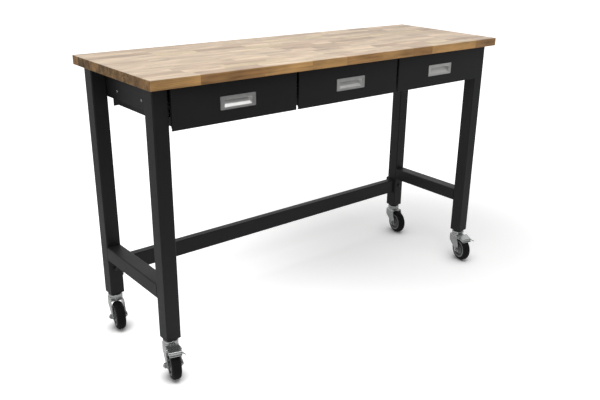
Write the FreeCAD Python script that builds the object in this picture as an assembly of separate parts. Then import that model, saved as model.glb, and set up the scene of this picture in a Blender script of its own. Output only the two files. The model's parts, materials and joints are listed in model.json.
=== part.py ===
import FreeCAD, Part
import math
import os

# Mobile workbench: wooden worktop, square-tube frame, three drawers, four swivel casters.
# Millimetres. The origin is on the floor under the middle of the bench, its trailing casters included.
# +X runs along the worktop to the right, +Y to the rear, +Z up.

Vector = FreeCAD.Vector

# Worktop
worktop_length = 1520.0
worktop_depth = 508.0
worktop_thickness = 30.0
worktop_edge_radius = 2.0
bench_height = 960.0

# How far the worktop's middle lies behind the middle of the bench with its casters
worktop_setback = 16.0

# Frame tubes
leg_side = 50.0
leg_wall = 2.0
leg_corner_radius = 4.0
leg_end_inset = 20.0
leg_front_inset = 33.0
leg_rear_inset = 33.0
crossbar_height = 50.0
crossbar_rise = 134.0
stretcher_height = 60.0
stretcher_depth = 30.0
stretcher_rise = 68.0
stretcher_wall = 2.0
stretcher_corner_radius = 3.5

# Brackets and bolts that hold the stretcher on the rear legs
bracket_thickness = 4.0
bracket_overhang = 5.0
bracket_ear_length = 46.0
stretcher_bolt_radius = 4.0
bolt_hole_clearance = 0.25
bolt_head_height = 5.3
bolt_head_width = 13.0
bolt_nut_height = 6.5
bolt_end_length = 5.0

# Sheet pieces under the worktop
apron_height = 97.0
apron_sheet = 2.0
apron_flange = 25.0
apron_lap = 40.0
divider_thickness = 4.0
divider_flange = 40.0
divider_front_setback = 8.0

# Worktop screws
worktop_screw_radius = 2.5
worktop_screw_head_radius = 5.0
worktop_screw_head_height = 2.5
worktop_screw_depth = 16.0
worktop_screw_end_distance = 40.0
screw_hole_clearance = 0.05
apron_screw_count = 3
rear_apron_screw_count = 5
divider_screw_count = 3

# Drawers
drawer_names = ["left_drawer", "middle_drawer", "right_drawer"]
front_gap = 10.0
front_height = 123.0
front_top_gap = 4.0
front_depth = 8.0
front_sheet = 1.5
front_lip = 12.0
front_corner_radius = 1.2
front_corner_relief = 8.0
drawer_rear_gap = 6.0
drawer_box_height = 82.0
drawer_box_rise = 8.0
drawer_box_sheet = 1.2
drawer_back_drop = 8.0
drawer_lug_length = 35.0
drawer_lug_foot = 3.0
drawer_lug_drop = 9.5

# Recessed pulls
pull_width = 128.0
pull_height = 41.0
pull_plate = 1.5
pull_corner_radius = 3.0
pull_recess_width = 104.0
pull_recess_height = 25.0
pull_recess_depth = 13.0
pull_low_depth = 7.0
pull_recess_drop = 2.0
pull_end_slope = 12.0
pull_low_slope = 9.6
pull_top_slope = 1.5
pull_bowl_radius = 4.0
pull_wall = 1.2
pull_rim = 3.0
pull_border_depth = 1.0
pull_drop = 2.5
pull_cutout_clearance = 0.2

# Drawer slides: three nested channels
slide_thickness = 12.7
slide_height = 45.0
slide_sheet = 1.2
slide_running_gap = 0.4
slide_front_setback = 9.0
slide_rear_setback = 8.0
slide_lip_clearance = 2.0
slide_screw_pitch = 160.0
slide_screw_offset = 19.0
slide_screw_radius = 2.5
slide_screw_head_radius = 4.5
slide_screw_head_height = 2.4
front_screw_radius = 2.0
front_screw_head_radius = 4.0
front_screw_head_height = 2.0

# Leg plugs and caster stems
plug_depth = 30.0
plug_collar_radius = 17.0
plug_collar_height = 4.5
stem_radius = 6.0
stem_neck_radius = 14.0
stem_neck_height = 1.0
cup_radius = 25.0
cup_height = 9.0
cup_edge_radius = 3.0
cup_gap = 1.0
dish_radius = 24.5
dish_height = 7.5
dish_edge_radius = 2.0
kingpin_radius = 6.0
kingpin_head_radius = 9.0
kingpin_head_height = 4.0
kingpin_head_gap = 0.3
running_clearance = 0.05

# Caster forks
fork_sheet = 2.5
fork_plate = 3.0
fork_inside_width = 43.0
fork_bend_radius = 5.0
fork_back = 22.0
fork_front = 30.0
fork_side_depth = 31.0
fork_boss_radius = 12.0
wheel_top_gap = 4.0
caster_trail = 35.0

# Wheels and axles
wheel_diameter = 100.0
tyre_width = 32.0
tyre_thickness = 14.0
tyre_shoulder = 12.0
hub_rim_thickness = 7.0
hub_rim_width = 31.0
hub_web_width = 23.0
hub_ring_radius = 21.0
hub_ring_width = 29.0
hub_barrel_radius = 11.0
hub_side_clearance = 0.3
axle_radius = 5.0
axle_head_width = 16.0
axle_head_height = 4.5
axle_nut_height = 7.5
axle_end_length = 3.5

# Brake pedals
pedal_pivot_reach = 41.0
pedal_pivot_height = 55.0
pedal_ear_radius = 6.5
pedal_rivet_radius = 2.5
pedal_rivet_head_radius = 4.0
pedal_rivet_head_height = 1.6
pedal_sheet = 2.2
pedal_side_gap = 1.2
pedal_back = 6.0
pedal_front = 29.0
pedal_heel_rise = 9.5
pedal_slope = 3.0
pedal_bend_radius = 5.0
pedal_flange_drop = 6.8
pedal_lip = 3.5
pedal_skirt_drop = 6.0
horn_root = 15.0
horn_reach = 16.0
horn_side = 9.0
horn_tip_width = 5.0
shoe_start = 5.0
shoe_drop = 3.5
shoe_side_gap = 1.2
shoe_front_gap = 0.5

# How far each brake pedal is pressed at rest, degrees
pedal_rest_angles = {
    "front_left": 0.0,
    "front_right": 11.0,
}

# Headings of the casters' trails, degrees from +X
caster_headings = {
    "front_left": -107.0,
    "front_right": -106.0,
    "rear_left": -103.0,
    "rear_right": -101.5,
}

# How far a cut runs past the face it opens, and how nearly parallel edges are taken as parallel
overcut = 1.0
parallel_tolerance = 0.001

# Derived heights
underside_z = bench_height - worktop_thickness
wheel_radius = wheel_diameter / 2
fork_under_z = wheel_diameter + wheel_top_gap
fork_top_z = fork_under_z + fork_plate
cup_under_z = fork_top_z + dish_height + cup_gap
cup_top_z = cup_under_z + cup_height
collar_under_z = cup_top_z + stem_neck_height
leg_foot_z = collar_under_z + plug_collar_height
crossbar_z = leg_foot_z + crossbar_rise
stretcher_z = leg_foot_z + stretcher_rise
apron_z = underside_z - apron_height

# Derived places of the frame
leg_x = worktop_length / 2 - leg_end_inset - leg_side / 2
worktop_front = worktop_setback - worktop_depth / 2
worktop_rear = worktop_setback + worktop_depth / 2
leg_front_face = worktop_front + leg_front_inset
leg_rear_face = worktop_rear - leg_rear_inset
front_leg_y = leg_front_face + leg_side / 2
rear_leg_y = leg_rear_face - leg_side / 2
inner_x = leg_x - leg_side / 2
between_front = front_leg_y + leg_side / 2
between_rear = rear_leg_y - leg_side / 2
stretcher_y = rear_leg_y
stretcher_bolt_z = stretcher_z + stretcher_height / 2

# Derived places of the drawers
drawer_count = len(drawer_names)
bay_span = 2 * (inner_x - apron_sheet)
bay_width = (bay_span - (drawer_count - 1) * divider_thickness) / drawer_count
bay_pitch = bay_width + divider_thickness
bay_centres = [(index - (drawer_count - 1) / 2) * bay_pitch for index in range(drawer_count)]
divider_centres = [(left + right) / 2 for left, right in zip(bay_centres, bay_centres[1:])]
front_width = bay_pitch - front_gap
front_top_z = underside_z - front_top_gap
front_z = front_top_z - front_height
front_face_y = leg_front_face - front_depth
box_width = bay_width - 2 * slide_thickness
box_z = front_z + drawer_box_rise
box_front_y = leg_front_face
box_rear_y = between_rear - drawer_rear_gap
pull_z = front_z + front_height / 2 - pull_drop
slide_z = pull_z
slide_front_y = box_front_y + slide_front_setback
slide_rear_y = between_rear - slide_rear_setback


def box(x0, x1, y0, y1, z0, z1):
    return Part.makeBox(x1 - x0, y1 - y0, z1 - z0, Vector(x0, y0, z0))


def cylinder(radius, start, end):
    run = Vector(*end) - Vector(*start)
    return Part.makeCylinder(radius, run.Length, Vector(*start), run)


def hexagon(width, start, end):
    """A hexagonal bar, width across its flats, from start to end along Y."""
    corner = width / math.sqrt(3)
    points = []
    for index in range(7):
        angle = math.radians(60 * index)
        x = start[0] + corner * math.cos(angle)
        z = start[2] + corner * math.sin(angle)
        points.append(Vector(x, start[1], z))
    return Part.Face(Part.makePolygon(points)).extrude(Vector(*end) - Vector(*start))


def prism(points, run):
    """A straight solid from a closed outline of 3-D points."""
    corners = [Vector(*point) for point in points]
    return Part.Face(Part.makePolygon(corners + corners[:1])).extrude(Vector(*run))


def fuse(shapes):
    return shapes[0].fuse(shapes[1:]).removeSplitter()


def edges_along(shape, direction):
    straight = [edge for edge in shape.Edges if edge.Curve.TypeId == "Part::GeomLine"]
    return [edge for edge in straight if edge.Curve.Direction.cross(direction).Length < parallel_tolerance]


def rounded_box(bounds, direction, radius):
    solid = box(*bounds)
    return solid.makeFillet(radius, edges_along(solid, direction))


def tube(bounds, direction, wall, radius):
    """A hollow tube with open ends, its length along direction."""
    inset = [wall * (1 - abs(part)) for part in direction]
    x0, x1, y0, y1, z0, z1 = bounds
    bore = (x0 + inset[0], x1 - inset[0], y0 + inset[1], y1 - inset[1], z0 + inset[2], z1 - inset[2])
    return rounded_box(bounds, direction, radius).cut(rounded_box(bore, direction, radius - wall))


def spread(low, high, count):
    return [low + (high - low) * index / (count - 1) for index in range(count)]


def export(name, shapes):
    solids = [solid for shape in shapes for solid in shape.Solids]
    shape = solids[0] if len(solids) == 1 else Part.makeCompound(solids)
    if not shape.isValid():
        raise ValueError("invalid solid in " + name)
    shape.exportStep("parts/" + name + ".step")


def worktop_screw_places():
    """The points of the worktop's underside where a screw enters."""
    places = []
    flange_x = inner_x - apron_sheet - apron_flange / 2
    apron_ys = spread(between_front + worktop_screw_end_distance, between_rear - worktop_screw_end_distance,
                      apron_screw_count)
    for side in (-1, 1):
        places += [(side * flange_x, y) for y in apron_ys]
    flange_y = between_rear + apron_sheet + apron_flange / 2
    rear_end = inner_x - worktop_screw_end_distance
    places += [(x, flange_y) for x in spread(-rear_end, rear_end, rear_apron_screw_count)]
    divider_ys = spread(box_front_y + divider_front_setback + worktop_screw_end_distance,
                        between_rear - worktop_screw_end_distance, divider_screw_count)
    for centre in divider_centres:
        places += [(centre + divider_flange / 4, y) for y in divider_ys]
    return places


def screw_holes(places, z0, z1):
    return [cylinder(worktop_screw_radius + screw_hole_clearance, (x, y, z0), (x, y, z1)) for x, y in places]


# Worktop
worktop = box(-worktop_length / 2, worktop_length / 2, worktop_front, worktop_rear, underside_z, bench_height)
worktop = worktop.makeFillet(worktop_edge_radius, worktop.Edges)
screw_places = worktop_screw_places()
worktop = worktop.cut(screw_holes(screw_places, underside_z - overcut,
                                  underside_z + worktop_screw_depth + overcut))

worktop_screws = []
for place_x, place_y in screw_places:
    head_top = underside_z - apron_sheet
    shank = cylinder(worktop_screw_radius, (place_x, place_y, head_top),
                     (place_x, place_y, underside_z + worktop_screw_depth))
    head = cylinder(worktop_screw_head_radius, (place_x, place_y, head_top - worktop_screw_head_height),
                    (place_x, place_y, head_top))
    head = head.makeFillet(worktop_screw_head_height / 2, [head.Edges[2]])
    worktop_screws.append(fuse([head, shank]))

# Legs
leg_places = {
    "front_left": (-leg_x, front_leg_y),
    "front_right": (leg_x, front_leg_y),
    "rear_left": (-leg_x, rear_leg_y),
    "rear_right": (leg_x, rear_leg_y),
}
half_leg = leg_side / 2
legs = {}
for place, (x, y) in leg_places.items():
    leg = tube((x - half_leg, x + half_leg, y - half_leg, y + half_leg, leg_foot_z, underside_z),
               Vector(0, 0, 1), leg_wall, leg_corner_radius)
    if place.startswith("rear"):
        leg = leg.cut(cylinder(stretcher_bolt_radius + bolt_hole_clearance,
                               (x, y - leg_side, stretcher_bolt_z), (x, y + leg_side, stretcher_bolt_z)))
    legs[place] = leg

# Crossbars
crossbars = {}
for side, sign in (("left", -1), ("right", 1)):
    x = sign * leg_x
    crossbars[side] = tube((x - half_leg, x + half_leg, between_front, between_rear,
                            crossbar_z, crossbar_z + crossbar_height),
                           Vector(0, 1, 0), leg_wall, leg_corner_radius)

# Stretcher with its welded end brackets
plate_x = inner_x - bracket_thickness
stretcher_front_y = stretcher_y - stretcher_depth / 2
stretcher_pieces = [tube((-plate_x, plate_x, stretcher_front_y, stretcher_front_y + stretcher_depth,
                          stretcher_z, stretcher_z + stretcher_height),
                         Vector(1, 0, 0), stretcher_wall, stretcher_corner_radius)]
ear_rear_y = leg_rear_face + bracket_thickness
bracket_front_y = stretcher_front_y - bracket_overhang
for sign in (-1, 1):
    plate_ends = sorted((sign * plate_x, sign * inner_x))
    ear_ends = sorted((sign * plate_x, sign * (inner_x + bracket_ear_length)))
    low = stretcher_z - bracket_overhang
    high = stretcher_z + stretcher_height + bracket_overhang
    plate = box(*plate_ends, bracket_front_y, ear_rear_y, low, high)
    ear = box(*ear_ends, leg_rear_face, ear_rear_y, low, high)
    ear = ear.cut(cylinder(stretcher_bolt_radius + bolt_hole_clearance,
                           (sign * leg_x, leg_rear_face - overcut, stretcher_bolt_z),
                           (sign * leg_x, ear_rear_y + overcut, stretcher_bolt_z)))
    stretcher_pieces += [plate, ear]
stretcher = fuse(stretcher_pieces)

stretcher_bolts = []
for sign in (-1, 1):
    head_start = (sign * leg_x, between_rear - bolt_head_height, stretcher_bolt_z)
    head_end = (sign * leg_x, between_rear, stretcher_bolt_z)
    nut_end = (sign * leg_x, ear_rear_y + bolt_nut_height, stretcher_bolt_z)
    bolt_end = (sign * leg_x, ear_rear_y + bolt_nut_height + bolt_end_length, stretcher_bolt_z)
    nut_start = (sign * leg_x, ear_rear_y, stretcher_bolt_z)
    shank = cylinder(stretcher_bolt_radius, head_end, bolt_end)
    stretcher_bolts.append(fuse([hexagon(bolt_head_width, head_start, head_end), shank]))
    stretcher_bolts.append(hexagon(bolt_head_width, nut_start, nut_end).cut(shank))

# Screws that hold the outer slide members on the aprons, and rivets that hold them on the dividers
slide_screw_middle = worktop_setback + slide_screw_offset
slide_screw_ys = [slide_screw_middle - slide_screw_pitch / 2, slide_screw_middle + slide_screw_pitch / 2]


def slide_screw_holes(x0, x1):
    radius = slide_screw_radius + screw_hole_clearance
    return [cylinder(radius, (x0, y, slide_z), (x1, y, slide_z)) for y in slide_screw_ys]


slide_screws = []
divider_rivets = []
for y in slide_screw_ys:
    for sign in (-1, 1):
        outside = (sign * inner_x, y, slide_z)
        head_end = (sign * (inner_x + slide_screw_head_height), y, slide_z)
        inside = (sign * (inner_x - apron_sheet - slide_sheet), y, slide_z)
        head = cylinder(slide_screw_head_radius, outside, head_end)
        head = head.makeFillet(slide_screw_head_height / 2, [head.Edges[0]])
        slide_screws.append(fuse([head, cylinder(slide_screw_radius, inside, outside)]))
    for centre in divider_centres:
        reach = divider_thickness / 2 + slide_sheet
        divider_rivets.append(cylinder(slide_screw_radius, (centre - reach, y, slide_z),
                                       (centre + reach, y, slide_z)))

# Aprons: folded sheet with a flange under the worktop; the end aprons lap the legs' inner faces
flange_z = underside_z - apron_sheet
end_aprons = {}
for side, sign in (("left", -1), ("right", 1)):
    plate = box(*sorted((sign * (inner_x - apron_sheet), sign * inner_x)), between_front - apron_lap,
                between_rear + apron_lap, apron_z, underside_z)
    flange = box(*sorted((sign * (inner_x - apron_sheet - apron_flange), sign * inner_x)),
                 between_front, between_rear, flange_z, underside_z)
    apron = fuse([plate, flange])
    holes = screw_holes(screw_places, flange_z - overcut, underside_z + overcut)
    holes += slide_screw_holes(sign * (inner_x - apron_sheet - overcut), sign * (inner_x + overcut))
    end_aprons[side] = apron.cut(holes)

rear_end_x = inner_x - apron_sheet
rear_plate = box(-rear_end_x, rear_end_x, between_rear, between_rear + apron_sheet, apron_z, underside_z)
rear_flange = box(-rear_end_x, rear_end_x, between_rear, between_rear + apron_sheet + apron_flange,
                  flange_z, underside_z)
rear_apron = fuse([rear_plate, rear_flange])
rear_apron = rear_apron.cut(screw_holes(screw_places, flange_z - overcut, underside_z + overcut))

# Dividers: hangers between the drawers
dividers = {}
for side, centre in zip(("left", "right"), divider_centres):
    web = box(centre - divider_thickness / 2, centre + divider_thickness / 2,
              box_front_y + divider_front_setback, between_rear, apron_z, underside_z)
    flange = box(centre - divider_flange / 2, centre + divider_flange / 2,
                 box_front_y + divider_front_setback, between_rear, flange_z, underside_z)
    holes = screw_holes(screw_places, flange_z - overcut, underside_z + overcut)
    holes += slide_screw_holes(centre - divider_thickness, centre + divider_thickness)
    dividers[side] = fuse([web, flange]).cut(holes)


# Slides: each member is a channel, nested in the next one
def channel(x_back, x_open, half_height, sheet):
    """A channel along Y with its back at x_back, open towards x_open."""
    low, high = sorted((x_back, x_open))
    back_inner = x_back + math.copysign(sheet, x_open - x_back)
    mouth = sorted((back_inner, x_open + math.copysign(overcut, x_open - x_back)))
    solid = box(low, high, slide_front_y, slide_rear_y, slide_z - half_height, slide_z + half_height)
    return solid.cut(box(*mouth, slide_front_y - overcut, slide_rear_y + overcut,
                         slide_z - half_height + sheet, slide_z + half_height - sheet))


step = slide_sheet + slide_running_gap
outer_half = slide_height / 2
outer_slides = []
middle_slides = {}
inner_slides = {}
for name, centre in zip(drawer_names, bay_centres):
    middle_slides[name] = []
    inner_slides[name] = []
    for sign in (-1, 1):
        wall_x = centre + sign * bay_width / 2
        side_x = centre + sign * box_width / 2
        outer = channel(wall_x, side_x + sign * slide_lip_clearance, outer_half, slide_sheet)
        holes = slide_screw_holes(wall_x - sign * slide_thickness, wall_x + sign * overcut)
        outer_slides.append(outer.cut(holes))
        middle_back = wall_x - sign * step
        middle_open = side_x + sign * step
        middle_slides[name].append(channel(middle_back, middle_open, outer_half - step, slide_sheet))
        inner_open = middle_back - sign * step
        inner_slides[name].append(channel(side_x, inner_open, outer_half - 2 * step, slide_sheet))

# Drawers
lip_screw_inset = front_sheet + front_lip / 2
recess_z = pull_z - pull_recess_drop


def upright_rectangle(y, x0, x1, z0, z1):
    corners = [Vector(x0, y, z0), Vector(x1, y, z0), Vector(x1, y, z1), Vector(x0, y, z1)]
    return Part.makePolygon(corners + corners[:1])


def recess_block(centre, outset):
    """The pull's bowl as a solid, grown by outset: sloped ends, a back wall that leans in, a steep upper wall."""
    half_width = pull_recess_width / 2 + outset
    mouth_y = front_face_y - pull_plate
    low = recess_z - pull_recess_height / 2 - outset
    high = recess_z + pull_recess_height / 2 + outset
    mouth = upright_rectangle(mouth_y, centre - half_width, centre + half_width, low, high)
    corners = []
    for depth, z, order in ((pull_low_depth + outset, low + pull_low_slope, (-1, 1)),
                            (pull_recess_depth + outset, high - pull_top_slope, (1, -1))):
        inset_half_width = half_width - pull_end_slope * depth / pull_recess_depth
        corners += [Vector(centre + sign * inset_half_width, mouth_y + depth, z) for sign in order]
    back = Part.makePolygon(corners + corners[:1])
    block = Part.makeLoft([mouth, back], True, True)
    inner_edges = [edge for edge in block.Edges if edge.BoundBox.YMax > mouth_y + parallel_tolerance]
    return block.makeFillet(pull_bowl_radius + outset, inner_edges)


def pull_border(centre):
    """The sunk border between the pull's rim and its bowl, as a solid to cut away."""
    mouth_y = front_face_y - pull_plate
    rim_half_width = pull_width / 2 - pull_rim
    rim_half_height = pull_height / 2 - pull_rim
    rim = upright_rectangle(mouth_y, centre - rim_half_width, centre + rim_half_width,
                            pull_z - rim_half_height, pull_z + rim_half_height)
    recess = upright_rectangle(mouth_y + pull_border_depth, centre - pull_recess_width / 2,
                               centre + pull_recess_width / 2, recess_z - pull_recess_height / 2,
                               recess_z + pull_recess_height / 2)
    return Part.makeLoft([rim, recess], True, True)


def pull_cutout(centre, y0, y1):
    half_width = pull_recess_width / 2 + pull_wall + pull_cutout_clearance
    half_height = pull_recess_height / 2 + pull_wall + pull_cutout_clearance
    return box(centre - half_width, centre + half_width, y0, y1,
               recess_z - half_height, recess_z + half_height)


def drawer_front(centre):
    x0, x1 = centre - front_width / 2, centre + front_width / 2
    back_y = leg_front_face
    pan = box(x0, x1, front_face_y, back_y, front_z, front_top_z)
    face_edges = [edge for edge in pan.Edges if edge.BoundBox.YMax < front_face_y + front_depth / 2]
    pan = pan.makeFillet(front_corner_radius, face_edges)
    cavity = box(x0 + front_sheet, x1 - front_sheet, front_face_y + front_sheet, back_y - front_sheet,
                 front_z + front_sheet, front_top_z - front_sheet)
    rim = front_sheet + front_lip
    opening = box(x0 + rim, x1 - rim, back_y - 2 * front_sheet, back_y + overcut,
                  front_z + rim, front_top_z - rim)
    cuts = [cavity, opening, pull_cutout(centre, front_face_y - overcut, back_y + overcut)]
    for x in (x0, x1):
        cuts.append(box(x - front_sheet, x + front_sheet, front_face_y + front_sheet, back_y + overcut,
                        front_z + front_sheet, front_z + front_corner_relief))
    for x, z in front_screw_places(centre):
        cuts.append(cylinder(front_screw_radius + screw_hole_clearance, (x, back_y - 2 * front_sheet, z),
                             (x, back_y + overcut, z)))
    return pan.cut(cuts)


def front_screw_places(centre):
    """Screw places, in the side lips of the front."""
    half = min(front_width / 2 - lip_screw_inset, box_width / 2 - front_lip / 2)
    quarter = drawer_box_height / 4
    middle = box_z + drawer_box_height / 2
    return [(centre + side * half, middle + up * quarter) for side in (-1, 1) for up in (-1, 1)]


def drawer_box(centre):
    x0, x1 = centre - box_width / 2, centre + box_width / 2
    sheet = drawer_box_sheet
    top = box_z + drawer_box_height
    lug_z = box_z - drawer_lug_drop
    outline = [(box_front_y, box_z), (box_rear_y - drawer_lug_length - drawer_lug_foot, box_z),
               (box_rear_y - drawer_lug_foot, lug_z), (box_rear_y, lug_z), (box_rear_y, top),
               (box_front_y, top)]
    sides = [prism([(x, y, z) for y, z in outline], (sheet, 0, 0)) for x in (x0, x1 - sheet)]
    floor = box(x0, x1, box_front_y, box_rear_y, box_z, box_z + sheet)
    front = box(x0, x1, box_front_y, box_front_y + sheet, box_z, top)
    back = box(x0, x1, box_rear_y - sheet, box_rear_y, box_z, top - drawer_back_drop)
    body = fuse(sides + [floor, front, back])
    cuts = [pull_cutout(centre, box_front_y - overcut, box_front_y + 2 * sheet)]
    for x, z in front_screw_places(centre):
        cuts.append(cylinder(front_screw_radius + screw_hole_clearance, (x, box_front_y - overcut, z),
                             (x, box_front_y + 2 * sheet, z)))
    cuts += slide_screw_holes(x0 - overcut, x0 + 2 * sheet) + slide_screw_holes(x1 - 2 * sheet, x1 + overcut)
    return body.cut(cuts)


def drawer_pull(centre):
    half_width = pull_width / 2
    half_height = pull_height / 2
    plate = rounded_box((centre - half_width, centre + half_width, front_face_y - pull_plate, front_face_y,
                         pull_z - half_height, pull_z + half_height), Vector(0, 1, 0), pull_corner_radius)
    bowl = recess_block(centre, pull_wall)
    return plate.fuse(bowl).removeSplitter().cut([recess_block(centre, 0), pull_border(centre)])


def drawer_fasteners(centre):
    """Screws from inside the box into the front's lips, and rivets through box sides and inner slides."""
    pieces = []
    inside_y = box_front_y + drawer_box_sheet
    for x, z in front_screw_places(centre):
        head = cylinder(front_screw_head_radius, (x, inside_y, z), (x, inside_y + front_screw_head_height, z))
        head = head.makeFillet(front_screw_head_height / 2, [head.Edges[0]])
        shank = cylinder(front_screw_radius, (x, box_front_y - front_sheet, z), (x, inside_y, z))
        pieces.append(fuse([head, shank]))
    for sign in (-1, 1):
        side_x = centre + sign * box_width / 2
        for y in slide_screw_ys:
            pieces.append(cylinder(slide_screw_radius, (side_x - sign * drawer_box_sheet, y, slide_z),
                                   (side_x + sign * slide_sheet, y, slide_z)))
    return pieces


# Casters, built with the trail along +X and the wheel's axle along Y, then turned to their headings
axle_z = wheel_radius
fork_half = fork_inside_width / 2 + fork_sheet
rim_radius = wheel_radius - tyre_thickness
pedal_half = fork_inside_width / 2 - pedal_side_gap
pedal_pivot_z = axle_z + pedal_pivot_height


def revolve_about_axle(points):
    """A closed outline of (radius, across) points, turned about the wheel's axle."""
    corners = [Vector(caster_trail, across, axle_z + radius) for radius, across in points]
    face = Part.Face(Part.makePolygon(corners + corners[:1]))
    return face.revolve(Vector(caster_trail, 0, axle_z), Vector(0, 1, 0), 360)


def wheel_tyre():
    half = tyre_width / 2
    ring = revolve_about_axle([(rim_radius, -half), (wheel_radius, -half),
                               (wheel_radius, half), (rim_radius, half)])
    circles = [edge for edge in ring.Edges if edge.Curve.TypeId == "Part::GeomCircle"]
    outside = [edge for edge in circles if edge.Curve.Radius > (rim_radius + wheel_radius) / 2]
    return ring.makeFillet(tyre_shoulder, outside)


def wheel_hub():
    rim = hub_rim_width / 2
    web = hub_web_width / 2
    ring = hub_ring_width / 2
    barrel = fork_inside_width / 2 - hub_side_clearance
    bore = axle_radius + running_clearance
    groove = rim_radius - hub_rim_thickness
    side = [(bore, barrel), (hub_barrel_radius, barrel), (hub_barrel_radius, ring), (hub_ring_radius, ring),
            (hub_ring_radius, web), (groove, web), (groove, rim), (rim_radius, rim)]
    return revolve_about_axle(side + [(radius, -across) for radius, across in reversed(side)])


def caster_axle():
    """Axle bolt through the fork, head on one side and nut on the other."""
    head_start = (caster_trail, fork_half + axle_head_height, axle_z)
    head_end = (caster_trail, fork_half, axle_z)
    nut_start = (caster_trail, -fork_half, axle_z)
    nut_end = (caster_trail, -fork_half - axle_nut_height, axle_z)
    bolt_end = (caster_trail, -fork_half - axle_nut_height - axle_end_length, axle_z)
    shank = cylinder(axle_radius, head_end, bolt_end)
    bolt = fuse([hexagon(axle_head_width, head_start, head_end), shank])
    return [bolt, hexagon(axle_head_width, nut_start, nut_end).cut(shank)]


def tangent_point(point, centre, radius, side):
    """Where a line from point touches a circle, on its left (side 1) or right (side -1)."""
    reach = math.hypot(centre[0] - point[0], centre[1] - point[1])
    heading = math.atan2(centre[1] - point[1], centre[0] - point[0])
    turn = side * math.acos(radius / reach)
    angle = heading + math.pi - turn
    return (centre[0] + radius * math.cos(angle), centre[1] + radius * math.sin(angle))


def caster_fork(braked):
    """A bent-sheet fork with a bearing dish on top; a braked fork has ears for the pedal."""
    knee = (-fork_back, fork_top_z - fork_side_depth)
    shoulder = (fork_front, fork_under_z - 2 * fork_plate)
    axle = (caster_trail, axle_z)
    touch_back = tangent_point(knee, axle, fork_boss_radius, -1)
    touch_front = tangent_point(shoulder, axle, fork_boss_radius, 1)
    outline = [(-fork_back, fork_top_z), knee, touch_back, axle, touch_front, shoulder,
               (fork_front, fork_top_z)]
    side = prism([(x, -2 * fork_half, z) for x, z in outline], (0, 4 * fork_half, 0))
    boss = cylinder(fork_boss_radius, (caster_trail, -2 * fork_half, axle_z),
                    (caster_trail, 2 * fork_half, axle_z))
    low = axle_z - 2 * fork_boss_radius
    reach = 2 * (caster_trail + fork_boss_radius)
    bent = rounded_box((-reach, reach, -fork_half, fork_half, low - 2 * fork_bend_radius, fork_top_z),
                       Vector(1, 0, 0), fork_bend_radius)
    inside = rounded_box((-reach - overcut, reach + overcut, -fork_inside_width / 2, fork_inside_width / 2,
                          low - 4 * fork_bend_radius, fork_under_z),
                         Vector(1, 0, 0), fork_bend_radius - fork_sheet)
    fork = bent.cut(inside).common(side.fuse(boss))
    dish = cylinder(dish_radius, (0, 0, fork_top_z), (0, 0, fork_top_z + dish_height))
    dish = dish.makeFillet(dish_edge_radius, [dish.Edges[0]])
    pieces = [fork, dish]
    if braked:
        for sign in (-1, 1):
            ys = sorted((sign * fork_inside_width / 2, sign * fork_half))
            ear = cylinder(pedal_ear_radius, (pedal_pivot_reach, ys[0], pedal_pivot_z),
                           (pedal_pivot_reach, ys[1], pedal_pivot_z))
            web = box(fork_front - fork_plate, pedal_pivot_reach, *ys, pedal_pivot_z - pedal_ear_radius,
                      fork_top_z - fork_bend_radius)
            pieces += [ear, web]
    fork = fuse(pieces)
    cuts = [cylinder(kingpin_radius + running_clearance, (0, 0, fork_under_z - overcut),
                     (0, 0, fork_top_z + dish_height + overcut)),
            cylinder(axle_radius + screw_hole_clearance, (caster_trail, -2 * fork_half, axle_z),
                     (caster_trail, 2 * fork_half, axle_z))]
    if braked:
        cuts.append(cylinder(pedal_rivet_radius + screw_hole_clearance,
                             (pedal_pivot_reach, -2 * fork_half, pedal_pivot_z),
                             (pedal_pivot_reach, 2 * fork_half, pedal_pivot_z)))
    return fork.cut(cuts)


def caster_stem():
    """Threaded stem, bearing cup and kingpin with its riveted head, in one turned piece."""
    stem_top = leg_foot_z + plug_depth
    head_top = fork_under_z - kingpin_head_gap
    levels = [
        (kingpin_head_radius, head_top - kingpin_head_height, head_top),
        (kingpin_radius, head_top, cup_under_z),
        (cup_radius, cup_under_z, cup_top_z),
        (stem_neck_radius, cup_top_z, collar_under_z),
        (stem_radius, collar_under_z, stem_top),
    ]
    pieces = [cylinder(radius, (0, 0, low), (0, 0, high)) for radius, low, high in levels]
    pieces[2] = pieces[2].makeFillet(cup_edge_radius, [pieces[2].Edges[0]])
    return fuse(pieces)


def leg_plug():
    """Plug in the leg's end with a collar below it; the caster stem passes through."""
    half = half_leg - leg_wall
    body = rounded_box((-half, half, -half, half, leg_foot_z, leg_foot_z + plug_depth), Vector(0, 0, 1),
                       leg_corner_radius - leg_wall)
    collar = cylinder(plug_collar_radius, (0, 0, collar_under_z), (0, 0, leg_foot_z))
    bore = cylinder(stem_radius + screw_hole_clearance, (0, 0, collar_under_z - overcut),
                    (0, 0, leg_foot_z + plug_depth + overcut))
    return fuse([body, collar]).cut(bore)


# Brake pedal: a stamped pan open below, with a lip along its front, a horn at one corner and a shoe inside
def pedal_line(reach):
    """Height of the pedal's top face at a distance from its pivot."""
    return pedal_pivot_z + pedal_heel_rise - (reach + pedal_back) * pedal_slope / (pedal_back + pedal_front)


def pedal_outline(inset):
    """The pedal's side outline, drawn in from its back, top and front by inset."""
    back_reach = inset - pedal_back
    front_reach = pedal_front - inset
    back = pedal_pivot_reach + back_reach
    front = pedal_pivot_reach + front_reach
    return [(back, pedal_line(back_reach) - inset), (front, pedal_line(front_reach) - inset),
            (front, pedal_pivot_z - pedal_flange_drop), (back, pedal_pivot_z - pedal_skirt_drop)]


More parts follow.
